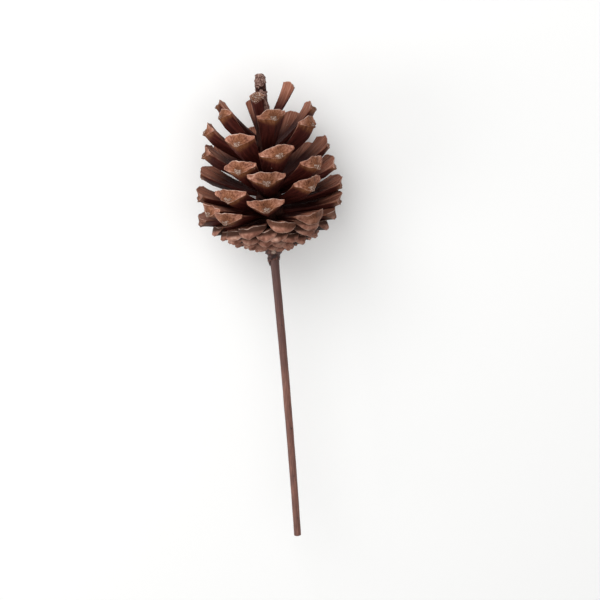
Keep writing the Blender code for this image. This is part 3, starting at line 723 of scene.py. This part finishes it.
def cone_tree():
    """The tree that grows the scales: it sets a blank on every spot, shapes it by the spot's growth
    values, turns it to its place and crusts its umbo with grains."""
    tree, given, result = new_tree(
        "cone_growth",
        (
            ("Scale Blank", "NodeSocketObject", None),
            ("Rim Wave", "NodeSocketFloat", 0.75 * MM),
            ("Rim Wave Length", "NodeSocketFloat", 4.2 * MM),
            ("Face Lines", "NodeSocketFloat", 0.12 * MM),
            ("Crust Height", "NodeSocketFloat", 0.45 * MM),
            ("Grain Size", "NodeSocketFloat", 0.13 * MM),
            ("Grains Per Area", "NodeSocketFloat", 4.5e6),
            ("Speck Size", "NodeSocketFloat", 0.28 * MM),
            ("Specks Per Area", "NodeSocketFloat", 1.6e3),
            ("Seed", "NodeSocketInt", 4),
            ("Material", "NodeSocketMaterial", None),
        ),
    )
    calc, vector = "ShaderNodeMath", "ShaderNodeVectorMath"
    blank = add_node(tree, "GeometryNodeObjectInfo", {"Object": given["Scale Blank"], "As Instance": True})
    spread = {"Points": given["Geometry"], "Instance": blank["Geometry"]}
    placed = add_node(tree, "GeometryNodeInstanceOnPoints", spread)
    loose = add_node(tree, "GeometryNodeRealizeInstances", {"Geometry": placed[0]})
    found = {}
    vectors = ("reach", "head", "root", "turned", "along_by", "up_by", "relief", "shut_relief", "marks")
    for name in vectors + ("yaw", "sag", "tone", "is_open", "is_shut", "across", "fixed"):
        kind = "FLOAT_VECTOR" if name in vectors else "FLOAT"
        read = add_node(tree, "GeometryNodeInputNamedAttribute", {"Name": name}, data_type=kind)
        found[name] = read["Attribute"]
    length, corner, setback = add_node(tree, "ShaderNodeSeparateXYZ", (found["reach"],))
    width, depth, _ = add_node(tree, "ShaderNodeSeparateXYZ", (found["head"],))
    roll, slope, turn = add_node(tree, "ShaderNodeSeparateXYZ", (found["turned"],))

    # Place on the plain scale: along it and up from it
    along = add_node(tree, vector, (found["along_by"], found["reach"]), operation="DOT_PRODUCT")
    rises = add_node(tree, vector, (found["up_by"], found["head"]), operation="MULTIPLY")
    by_width, by_depth, by_lower = add_node(tree, "ShaderNodeSeparateXYZ", (rises[0],))
    along = add_node(tree, calc, (along["Value"], by_lower), operation="ADD")[0]
    up = by_width
    for more in (by_depth, found["fixed"]):
        up = add_node(tree, calc, (up, more), operation="ADD")[0]

    # Half the width there: narrow at the root, full from the corners on
    full_from = add_node(tree, calc, (length, corner), operation="SUBTRACT")[0]
    share = add_node(tree, calc, (along, full_from), operation="DIVIDE", use_clamp=True)[0]
    share = add_node(tree, calc, (share, 1 - WAIST_SHARE, WAIST_SHARE), operation="MULTIPLY_ADD")[0]
    sideways = width
    for factor in (0.5, share, found["across"]):
        sideways = add_node(tree, calc, (sideways, factor), operation="MULTIPLY")[0]
    plain = add_node(tree, "ShaderNodeCombineXYZ", (along, sideways, up))[0]

    # Relief in proportion to the head, and the rim's waves, which die out from 1.5 to 6.5 mm behind it
    size = add_node(tree, calc, (depth, FULL_DEPTH_MM * MM), operation="DIVIDE")[0]
    shut = {0: found["shut_relief"], "Scale": found["is_shut"]}
    shut = add_node(tree, vector, shut, operation="SCALE")[0]
    relief = add_node(tree, vector, (found["relief"], shut), operation="ADD")[0]
    relief = add_node(tree, vector, {0: relief, "Scale": size}, operation="SCALE")[0]
    shaped = add_node(tree, vector, (plain, relief), operation="ADD")[0]
    back = add_node(tree, calc, (length, along), operation="SUBTRACT")[0]
    near_rim = {"Value": back, "From Min": 6.5 * MM, "From Max": 1.5 * MM}
    near_rim = add_node(tree, "ShaderNodeMapRange", near_rim, interpolation_type="SMOOTHSTEP")[0]
    seed = add_node(tree, calc, (found["tone"], 90.0, given["Seed"]), operation="MULTIPLY_ADD")
    wave_place = add_node(tree, calc, (sideways, given["Rim Wave Length"]), operation="DIVIDE")
    wave_place = add_node(tree, "ShaderNodeCombineXYZ", (wave_place[0], seed[0]))
    waves = {"Vector": wave_place[0], "Scale": 1.0, "Detail": 1.5}
    waves = add_node(tree, "ShaderNodeTexNoise", waves)["Color"]
    waves = add_node(tree, vector, (waves, (0.5, 0.5, 0.5)), operation="SUBTRACT")[0]
    waves = add_node(tree, vector, (waves, (3.0, 0.0, 3.6)), operation="MULTIPLY")[0]
    wave_size = near_rim
    for factor in (given["Rim Wave"], size):
        wave_size = add_node(tree, calc, (wave_size, factor), operation="MULTIPLY")[0]
    waves = add_node(tree, vector, {0: waves, "Scale": wave_size}, operation="SCALE")[0]
    shaped = add_node(tree, vector, (shaped, waves), operation="ADD")[0]

    # Where the point is from the umbo, in mm, for the finish
    umbo_along = add_node(tree, calc, (length, setback), operation="SUBTRACT")[0]
    umbo_up = add_node(tree, calc, (depth, -UMBO_SHARE), operation="MULTIPLY")[0]
    umbo_place = add_node(tree, "ShaderNodeCombineXYZ", {0: umbo_along, 2: umbo_up})[0]
    from_umbo = add_node(tree, vector, (shaped, umbo_place), operation="SUBTRACT")[0]
    from_umbo = add_node(tree, vector, {0: from_umbo, "Scale": 1 / MM}, operation="SCALE")[0]
    from_tip = add_node(tree, calc, (back, 1 / MM), operation="MULTIPLY")[0]
    own = add_node(tree, "ShaderNodeCombineXYZ", (found["tone"], found["is_open"], from_tip))

    # Roll, sag, yaw, slope and turn round the cone, in that order
    rotate = "ShaderNodeVectorRotate"
    placed_at = add_node(tree, rotate, {"Vector": shaped, "Angle": roll}, rotation_type="X_AXIS")[0]
    x, y, z = add_node(tree, "ShaderNodeSeparateXYZ", (placed_at,))
    run = add_node(tree, calc, (x, length), operation="DIVIDE")[0]
    rest = add_node(tree, calc, (1.0, run), operation="SUBTRACT")[0]
    sag = run
    for factor in (rest, length, found["sag"]):
        sag = add_node(tree, calc, (sag, factor), operation="MULTIPLY")[0]
    z = add_node(tree, calc, (sag, -4.0, z), operation="MULTIPLY_ADD")[0]
    y = add_node(tree, calc, (x, found["yaw"], y), operation="MULTIPLY_ADD")[0]
    placed_at = add_node(tree, "ShaderNodeCombineXYZ", (x, y, z))[0]
    dipped = add_node(tree, calc, (slope, -1.0), operation="MULTIPLY")[0]
    placed_at = {"Vector": placed_at, "Angle": dipped}
    placed_at = add_node(tree, rotate, placed_at, rotation_type="Y_AXIS")[0]
    placed_at = add_node(tree, vector, (placed_at, found["root"]), operation="ADD")[0]
    placed_at = {"Vector": placed_at, "Angle": turn}
    placed_at = add_node(tree, rotate, placed_at, rotation_type="Z_AXIS")[0]
    grown = loose[0]
    note, as_vector = "GeometryNodeStoreNamedAttribute", {"data_type": "FLOAT_VECTOR"}
    for name, value in (("from_umbo", from_umbo), ("own", own[0])):
        noted = {"Geometry": grown, "Name": name, "Value": value}
        grown = add_node(tree, note, noted, **as_vector)[0]
    grown = add_node(tree, "GeometryNodeSetPosition", {"Geometry": grown, "Position": placed_at})[0]

    # Ribs that fan out from the umbo, one every 20 degrees, up to about Face Lines high
    place = add_node(tree, "GeometryNodeInputNamedAttribute", {"Name": "from_umbo"}, **as_vector)[0]
    _, aside, above = add_node(tree, "ShaderNodeSeparateXYZ", (place,))
    angle = add_node(tree, calc, (above, aside), operation="ARCTAN2")[0]
    rib_place = add_node(tree, "ShaderNodeCombineXYZ", (angle, seed[0]))[0]
    ribs = add_node(tree, "ShaderNodeTexNoise", {"Vector": rib_place, "Scale": 3.0, "Detail": 2.0})
    ribs = add_node(tree, calc, (ribs["Fac"], 0.5), operation="SUBTRACT")[0]
    for factor in (given["Face Lines"], 3.0, found["is_open"]):
        ribs = add_node(tree, calc, (ribs, factor), operation="MULTIPLY")[0]

    # Lumps of crust on the umbo, 1 mm wide
    umbo, _, _ = add_node(tree, "ShaderNodeSeparateXYZ", (found["marks"],))
    crusty = add_node(tree, calc, (umbo, found["is_open"]), operation="MULTIPLY")[0]
    lumps = add_node(tree, "ShaderNodeTexNoise", {"Vector": place, "Scale": 1.0, "Detail": 2.0})
    lumps = add_node(tree, calc, (lumps["Fac"], 0.45), operation="SUBTRACT")[0]
    for factor in (crusty, given["Crust Height"]):
        lumps = add_node(tree, calc, (lumps, factor), operation="MULTIPLY")[0]
    high = add_node(tree, calc, (lumps, 4.0, ribs), operation="MULTIPLY_ADD")[0]
    outward = add_node(tree, "GeometryNodeInputNormal")[0]
    offset = add_node(tree, vector, {0: outward, "Scale": high}, operation="SCALE")[0]
    grown = add_node(tree, "GeometryNodeSetPosition", {"Geometry": grown, "Offset": offset})[0]
    grown = add_node(tree, "GeometryNodeSetShadeSmooth", {"Geometry": grown})[0]

    # Grains of crust on the umbos, and specks of dried resin, a few on any part of the scales, which
    # take the crust's colour
    density = add_node(tree, calc, (crusty, given["Grains Per Area"]), operation="MULTIPLY")
    draw = "FunctionNodeRandomValue"
    spin = {"Min": (0, 0, 0), "Max": (6.28, 6.28, 6.28), "Seed": 2}
    spin = add_node(tree, draw, spin, **as_vector)[0]
    stretch = {"Min": (0.5, 0.5, 0.5), "Max": (1.5, 1.2, 1.2), "Seed": 3}
    stretch = add_node(tree, draw, stretch, **as_vector)[0]
    crumbs = []
    for kind, many in (("Grain Size", density[0]), ("Speck Size", given["Specks Per Area"])):
        scatter = {"Mesh": grown, "Density": many, "Seed": given["Seed"]}
        spots = add_node(tree, "GeometryNodeDistributePointsOnFaces", scatter)["Points"]
        if kind == "Speck Size":
            marked = {"Geometry": spots, "Name": "marks", "Value": (1, 0, 0)}
            spots = add_node(tree, note, marked, **as_vector)[0]
        crumb = {"Radius": given[kind], "Subdivisions": 1}
        crumb = add_node(tree, "GeometryNodeMeshIcoSphere", crumb)["Mesh"]
        strewn = {"Points": spots, "Instance": crumb, "Rotation": spin, "Scale": stretch}
        crumbs.append(add_node(tree, "GeometryNodeInstanceOnPoints", strewn)[0])
    joined = tree.nodes.new("GeometryNodeJoinGeometry")
    for piece in (grown, *crumbs):
        tree.links.new(piece, joined.inputs[0])
    whole = add_node(tree, "GeometryNodeRealizeInstances", {"Geometry": joined.outputs[0]})
    dressed = {"Geometry": whole[0], "Material": given["Material"]}
    dressed = add_node(tree, "GeometryNodeSetMaterial", dressed)
    tree.links.new(dressed[0], result)
    return tree


def made_by(tree, name, base, values):
    """A plain mesh object that the tree makes from base with these values for its named inputs."""
    bed = bpy.data.objects.new(name + "_bed", base)
    bpy.context.scene.collection.objects.link(bed)
    modifier = bed.modifiers.new(name, "NODES")
    modifier.node_group = tree
    for item in tree.interface.items_tree:
        if item.item_type == "SOCKET" and item.in_out == "INPUT" and item.name in values:
            modifier[item.identifier] = values[item.name]
    graph = bpy.context.evaluated_depsgraph_get()
    mesh = bpy.data.meshes.new_from_object(bed.evaluated_get(graph))
    mesh.name = name
    bpy.data.objects.remove(bed)
    made = bpy.data.objects.new(name, mesh)
    bpy.context.scene.collection.objects.link(made)
    return made


def mesh_object(name, bm, surface):
    """A plain object from bm, with its faces pointing out."""
    bmesh.ops.recalc_face_normals(bm, faces=bm.faces)
    mesh = bpy.data.meshes.new(name)
    bm.to_mesh(mesh)
    bm.free()
    mesh.materials.append(surface)
    mesh.shade_smooth()
    made = bpy.data.objects.new(name, mesh)
    bpy.context.scene.collection.objects.link(made)
    return made


def skin(bm, rings, heights):
    """Skins the rings and closes them with a point on the axis at each of the two heights in mm."""
    ends = [bm.verts.new((0, 0, height * MM)) for height in heights]
    sides = [(i, (i + 1) % len(rings[0])) for i in range(len(rings[0]))]
    for one, two in zip(rings, rings[1:]):
        for i, j in sides:
            bm.faces.new((one[i], one[j], two[j], two[i]))
    for end, ring in zip(ends, (rings[0], rings[-1])):
        for i, j in sides:
            bm.faces.new((end, ring[i], ring[j]))


def cone_core(surface):
    """The woody axis and the dome under the closed scales."""
    bm = bmesh.new()
    rings = []
    for radius, height in AXIS_PROFILE[1:-1]:
        ring = []
        for i in range(AXIS_SIDES):
            angle = math.tau * i / AXIS_SIDES
            point = Vector((radius * math.cos(angle), radius * math.sin(angle), height))
            rough = 1 + AXIS_ROUGHNESS * noise.noise(point * 0.7)
            ring.append(bm.verts.new((point.x * rough * MM, point.y * rough * MM, point.z * MM)))
        rings.append(ring)
    skin(bm, rings, (AXIS_PROFILE[0][1], AXIS_PROFILE[-1][1]))
    return mesh_object("cone_core", bm, surface)


def apex_bud(surface):
    """The crusty knobbed column at the apex. Its knobs are the ends of scales, set by the same turn
    from one to the next as the closed part's."""
    heights, radii = zip(*BUD_PROFILE)
    knobs = []
    for i in range(BUD_KNOBS):
        level = KNOBS_FROM_MM + KNOBS_RISE_MM * i / BUD_KNOBS
        knobs.append((math.radians(CLOSED_TURN_DEG * i), level, 1.0 - 0.3 * (i % 3 == 0)))
    bm = bmesh.new()
    rings = []
    for row in range(BUD_ROWS):
        share = row / BUD_ROWS
        height = heights[0] + (heights[-1] - heights[0]) * (1 - (1 - share) ** 1.6)
        plain = float(np.interp(height, heights, radii))
        aside = float(np.interp(height, *zip(*STUB_ASIDE)))
        centre_x = BUD_SWAY_MM * math.sin(height * 0.9) - STUB_ASIDE_MM * aside
        ring = []
        for i in range(BUD_SIDES):
            angle = math.tau * i / BUD_SIDES
            high = 0.0
            for turn, level, strength in knobs:
                around = (angle - turn + math.pi) % math.tau - math.pi
                far = (around * plain / BUD_KNOB_WIDTH_MM, (height - level) / BUD_KNOB_LENGTH_MM)
                high = max(high, strength * math.exp(-(math.hypot(*far) ** 2.5)))
            spot = Vector((plain * math.cos(angle), plain * math.sin(angle), height))
            radius = plain + BUD_KNOB_MM * (high - 0.4) + BUD_ROUGHNESS_MM * noise.noise(spot * 2.2)
            x, y = centre_x + radius * math.cos(angle), radius * math.sin(angle)
            z = height + BUD_TILT_MM * noise.noise(spot * 1.3)
            ring.append(bm.verts.new((x * MM, y * MM, z * MM)))
        rings.append(ring)
    skin(bm, rings, (heights[0], heights[-1]))
    return mesh_object("apex_bud", bm, surface)


def stick_centre(height):
    """Where the stick's middle line is, height being measured up from the cone's base."""
    share = max(0.0, height / STICK_END)
    bow = 4 * STICK_BOW * share * (1 - share)
    return Vector((bow - height * math.tan(math.radians(STICK_LEAN_DEG)), 0.0, height))


def stick_radius(height):
    """The stick's radius at that height."""
    rows = np.array(STICK_PROFILE[::-1])
    return float(np.interp(height / MM, rows[:, 0], rows[:, 1])) * MM


def stick_path():
    """The stick's middle line as a mesh, with its radius at each point."""
    steps = int((STICK_TOP - STICK_END) / STICK_STEP)
    heights = [STICK_END + (STICK_TOP - STICK_END) * i / steps for i in range(steps + 1)]
    heights[1:1] = [STICK_END + STICK_BEVEL]
    heights[-1:-1] = [STICK_TOP - STICK_BEVEL]
    mesh = bpy.data.meshes.new("stick_path")
    edges = [(i, i + 1) for i in range(len(heights) - 1)]
    mesh.from_pydata([stick_centre(h) for h in heights], edges, [])
    radii = []
    for height in heights:
        edge = min(height - STICK_END, STICK_TOP - height)
        radii.append(stick_radius(height) - max(0.0, STICK_BEVEL - edge))
    store(mesh, "thick", "FLOAT", radii)
    return mesh


def stick_tree():
    """The tree that makes the stick: a round section swept along its path, with fibres along it."""
    tree, given, result = new_tree(
        "stick_turning",
        (
            ("Sides", "NodeSocketInt", STICK_SIDES),
            ("Fibre Height", "NodeSocketFloat", 0.06 * MM),
            ("Knot Height", "NodeSocketFloat", 0.1 * MM),
            ("Material", "NodeSocketMaterial", None),
        ),
    )
    calc, vector = "ShaderNodeMath", "ShaderNodeVectorMath"
    thick = add_node(tree, "GeometryNodeInputNamedAttribute", {"Name": "thick"}, data_type="FLOAT")
    line = add_node(tree, "GeometryNodeMeshToCurve", {"Mesh": given["Geometry"]})[0]
    section = {"Resolution": given["Sides"], "Radius": 1.0}
    section = add_node(tree, "GeometryNodeCurvePrimitiveCircle", section)[0]
    swept = {"Curve": line, "Profile Curve": section, "Scale": thick["Attribute"], "Fill Caps": True}
    swept = add_node(tree, "GeometryNodeCurveToMesh", swept)[0]
    place = add_node(tree, "GeometryNodeInputPosition")[0]
    # Fibres 0.5 mm wide and 10 mm long, and swellings 3 mm wide and 8 mm long
    drawn = add_node(tree, vector, (place, (2000.0, 2000.0, 100.0)), operation="MULTIPLY")
    fibres = add_node(tree, "ShaderNodeTexNoise", {"Vector": drawn[0], "Scale": 1.0, "Detail": 2.0})
    swollen = add_node(tree, vector, (place, (330.0, 330.0, 125.0)), operation="MULTIPLY")
    knots = add_node(tree, "ShaderNodeTexNoise", {"Vector": swollen[0], "Scale": 1.0, "Detail": 1.0})
    high = []
    for pattern, height in ((fibres, given["Fibre Height"]), (knots, given["Knot Height"])):
        about = add_node(tree, calc, (pattern["Fac"], 0.5), operation="SUBTRACT")
        high.append(add_node(tree, calc, (about[0], height), operation="MULTIPLY"))
    total = add_node(tree, calc, (high[0][0], high[1][0]), operation="ADD")
    total = add_node(tree, calc, (total[0], 2.0), operation="MULTIPLY")
    outward = add_node(tree, "GeometryNodeInputNormal")[0]
    offset = add_node(tree, vector, {0: outward, "Scale": total[0]}, operation="SCALE")
    rough = add_node(tree, "GeometryNodeSetPosition", {"Geometry": swept, "Offset": offset[0]})
    smooth = add_node(tree, "GeometryNodeSetShadeSmooth", {"Geometry": rough[0]})
    whole = add_node(tree, "GeometryNodeRealizeInstances", {"Geometry": smooth[0]})
    dressed = {"Geometry": whole[0], "Material": given["Material"]}
    dressed = add_node(tree, "GeometryNodeSetMaterial", dressed)
    tree.links.new(dressed[0], result)
    return tree


def glue_bead(surface):
    """The lumpy bead of glue round the stick, with a knob on each side, a chip at the front and a
    thin smear that runs down the stick's left side."""
    heights, radii = zip(*GLUE_PROFILE[::-1])
    top = GLUE_TOP_MM
    bm = bmesh.new()
    chip = bm.verts.layers.float.new("chip")
    loops = []
    for i in range(GLUE_SIDES):
        angle = math.tau * i / GLUE_SIDES
        direction = Vector((math.cos(angle), math.sin(angle), 0))
        smeared = math.exp(-(((angle - math.pi) / SMEAR_SPREAD) ** 2))
        bottom = GLUE_BOTTOM_MM + (SMEAR_END_MM - GLUE_BOTTOM_MM) * smeared
        bottom += GLUE_RAGGED_MM * noise.noise(direction * 1.6)
        loop = []
        for row in range(GLUE_ROWS + 1):
            share = row / GLUE_ROWS
            height = top + (bottom - top) * share
            outer = float(np.interp(height, heights, radii))
            lumps = sum(size * math.sin(count * angle + phase) for count, size, phase in GLUE_LUMPS)
            outer += lumps * max(0.0, 1 - (top - height) / GLUE_LUMPS_END_MM)
            spot = Vector((direction.x * 2.2, direction.y * 2.2, height))
            strong = 1.0 if height > GLUE_ROUGH_TO_MM else 0.5
            outer += strong * sum(size * noise.noise(spot * often) for size, often in GLUE_ROUGHNESS)
            beside = min(angle, abs(angle - math.pi), math.tau - angle) * GLUE_RADIUS_MM
            far = (beside / 0.7) ** 2 + ((height - GLUE_KNOB_AT_MM) / 0.5) ** 2
            outer += GLUE_KNOB_MM * math.exp(-far)
            outer += SMEAR_MM * smeared * max(0.0, min(1.0, SMEAR_FROM_MM - height))
            inner = stick_radius(height * MM) / MM + 0.4 * FIT_GAP / MM
            # Rounded in at the top, thinning out at the ragged lower edge
            outer -= 0.5 * max(0.0, 1 - 8 * share) ** 2
            thinned = min(1.0, 0.25 + (9 - 6 * smeared) * (1 - share))
            outer = inner + max(GLUE_SKIN_MM, outer - inner) * thinned
            centre = stick_centre(height * MM)
            vertex = bm.verts.new(centre + direction * outer * MM)
            aside = math.hypot((angle - 1.5 * math.pi) / 0.28, (height - CHIP_AT_MM) / 0.6)
            vertex[chip] = max(0.0, min(1.0, 2.2 - 1.6 * aside))
            loop.append(vertex)
        for height in (bottom, top):
            inner = stick_radius(height * MM) + 0.4 * FIT_GAP
            loop.append(bm.verts.new(stick_centre(height * MM) + direction * inner))
        loops.append(loop)
    for one, two in zip(loops, loops[1:] + loops[:1]):
        for k in range(len(one)):
            m = (k + 1) % len(one)
            bm.faces.new((one[k], one[m], two[m], two[k]))
    return mesh_object("glue_bead", bm, surface)


def lying_turn():
    """The turn that lays the upright pick down."""
    dip = Matrix.Rotation(-math.radians(90 + REST_DIP_DEG), 4, "X")
    return dip @ Matrix.Rotation(math.radians(REST_ROLL_DEG), 4, "Z")


def lay_down(objects, place):
    """Lays the pieces down. What would sink in the floor is flattened."""
    for made in objects:
        made.data.transform(place)
        points = np.zeros(len(made.data.vertices) * 3, np.float32)
        made.data.vertices.foreach_get("co", points)
        points = points.reshape(-1, 3)
        points[:, 2] = np.maximum(points[:, 2], 0.0)
        made.data.vertices.foreach_set("co", points.ravel())
        made.data.update()


def found_shift():
    """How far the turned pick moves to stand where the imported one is: the same corners of the
    stick's two ends are compared."""
    turn = lying_turn()
    low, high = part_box("stem_stick")
    reached = []
    less = SOLID_CHAMFER_MM
    rings = [(STICK_TOP, -less), (STICK_TOP - less * MM, 0), (STICK_END + less * MM, 0), (STICK_END, -less)]
    rings += [(height * MM, 0) for height in SOLID_HEIGHTS]
    for height, less in rings:
        radius = stick_radius(height) + less * MM
        for i in range(SOLID_SIDES):
            angle = math.tau * i / SOLID_SIDES
            spot = stick_centre(height) + Vector((radius * math.cos(angle), radius * math.sin(angle), 0))
            reached.append(turn @ spot)
    reached = np.array(reached)
    return (low + high) / 2 - Vector((reached.min(axis=0) + reached.max(axis=0)) / 2)


def set_camera(place):
    """The photograph's camera, which was level and now looks down on the lying pick."""
    rise, lean = math.radians(CAMERA_RISE_DEG), math.radians(CAMERA_LEAN_DEG)
    back = Vector((0, -math.cos(rise), math.sin(rise)))
    level_up, level_right = Vector((0, math.sin(rise), math.cos(rise))), Vector((1, 0, 0))
    up = level_up * math.cos(lean) + level_right * math.sin(lean)
    right = level_right * math.cos(lean) - level_up * math.sin(lean)
    aside, above = CAMERA_ASIDE
    pose = Matrix((right, up, back)).transposed().to_4x4()
    pose.translation = right * aside + up * above + back * CAMERA_DISTANCE
    data = bpy.data.cameras.new("camera")
    data.sensor_width = SENSOR_MM
    data.lens = SENSOR_MM * CAMERA_DISTANCE / (PHOTO_PX * MM_PER_PX * MM)
    camera = bpy.data.objects.new("camera", data)
    camera.matrix_world = place @ pose
    bpy.context.scene.collection.objects.link(camera)
    bpy.context.scene.camera = camera


def softbox(name, place, aim, size, power):
    """A square studio light at place that shines on aim."""
    data = bpy.data.lights.new(name, "AREA")
    data.size = size
    data.energy = power
    light = bpy.data.objects.new(name, data)
    light.location = place
    light.rotation_euler = (Vector(aim) - Vector(place)).to_track_quat("-Z", "Y").to_euler()
    bpy.context.scene.collection.objects.link(light)


def set_stage():
    """A plain pale floor and soft studio light from above the apex."""
    mesh = bpy.data.meshes.new("floor")
    far = 6.0
    mesh.from_pydata([(-far, -far, 0), (far, -far, 0), (far, far, 0), (-far, far, 0)], [], [(0, 1, 2, 3)])
    made, tree, shader = new_material("white_paper_floor")
    set_sockets(tree, shader, {"Base Color": linear("#FAFAF9"), "Roughness": 0.9})
    mesh.materials.append(made)
    floor = bpy.data.objects.new("floor", mesh)
    bpy.context.scene.collection.objects.link(floor)
    cone = (0.0, 0.06, 0.03)
    softbox("key_light", (-0.35, 0.7, 0.85), cone, 0.8, 6.3)
    softbox("side_light", (-0.9, -0.15, 0.45), cone, 0.6, 2.4)
    softbox("fill_light", (0.1, 0.1, 1.4), (0, 0, 0), 1.2, 5.6)
    world = bpy.data.worlds.new("studio")
    world.use_nodes = True
    background = world.node_tree.nodes["Background"]
    background.inputs["Color"].default_value = linear("#FFFFFF")
    background.inputs["Strength"].default_value = 0.45
    bpy.context.scene.world = world
    bpy.context.scene.view_settings.view_transform = "Standard"


def main():
    place = Matrix.Translation(found_shift()) @ lying_turn()
    blank = scale_blank()
    scales = made_by(
        cone_tree(), "cone_scales", scale_spots(), {"Scale Blank": blank, "Material": cone_wood()}
    )
    bpy.data.objects.remove(blank)
    core = cone_core(axis_wood_painted_shade())
    bud = apex_bud(crusty_bud())
    stick = made_by(stick_tree(), "wooden_stick", stick_path(), {"Material": stained_stick()})
    bead = glue_bead(stained_glue())
    lay_down((scales, core, bud, stick, bead), place)
    for made, node, slot in (
        (scales, "pine_cone", "cone_wood"),
        (core, "pine_cone", "cone_wood"),
        (bud, "pine_cone", "cone_wood"),
        (stick, "stem_stick", "stained_stick"),
        (bead, "glue_collar", "stained_glue"),
    ):
        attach(made, "root")
        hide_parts(node)
    set_stage()
    set_camera(place)


main()
